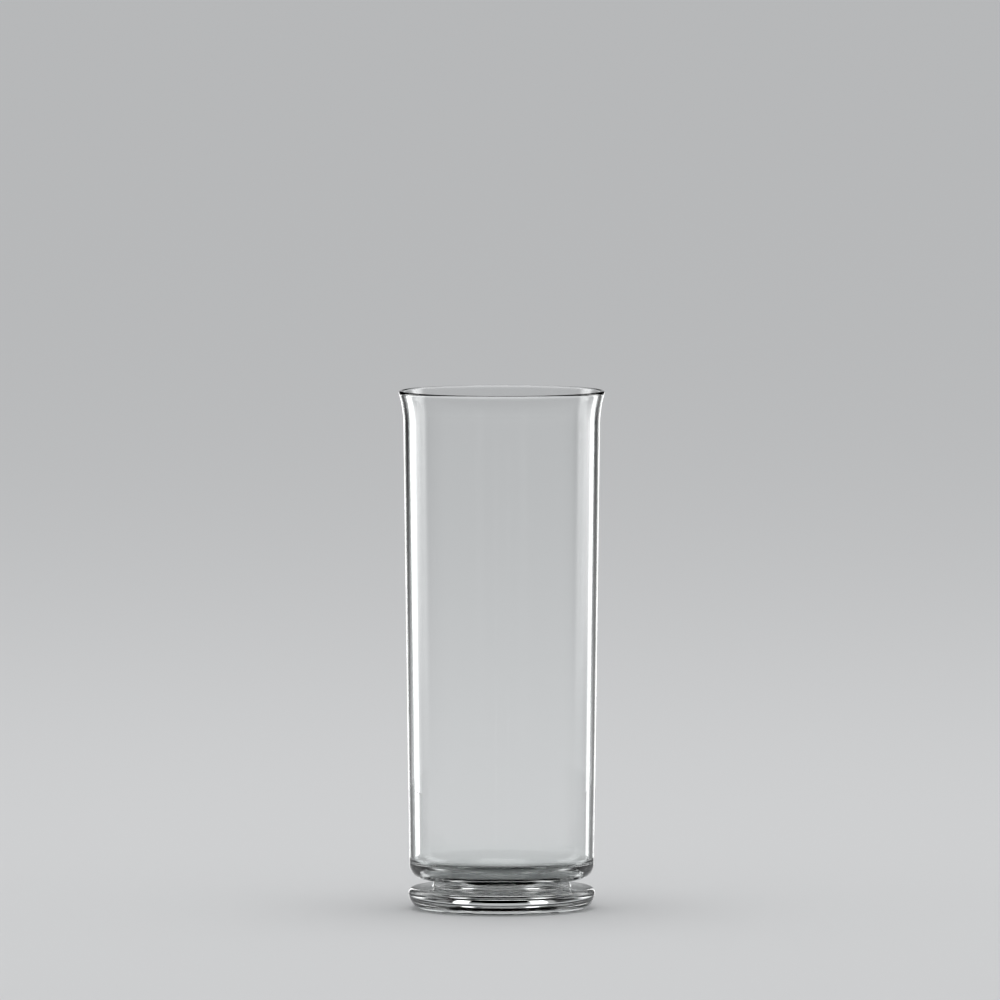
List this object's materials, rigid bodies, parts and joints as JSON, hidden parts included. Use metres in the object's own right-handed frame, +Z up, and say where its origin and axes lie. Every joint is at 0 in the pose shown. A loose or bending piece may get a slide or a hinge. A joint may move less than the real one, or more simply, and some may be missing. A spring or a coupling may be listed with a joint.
{
  "type": "highball glass",
  "caption": "Tall slim highball glass: thin clear wall with a gently flared lip, thick rounded bottom, narrow waist and solid disc foot.",
  "frame": {"origin": "on the glass's axis, on the plane that its foot stands on", "axes": "+Z up along the axis towards the lip; X and Y are equal, because the glass is a solid of revolution"},
  "size_m": [0.06, 0.06, 0.151],
  "materials": {
    "bowl_glass": "clear, fire-polished",
    "foot_glass": "clear, fire-polished, with a thin ground contact ring"
  },
  "bodies": {
    "root": {"bowl": "bowl_glass", "foot": "foot_glass"}
  },
  "joints": []
}
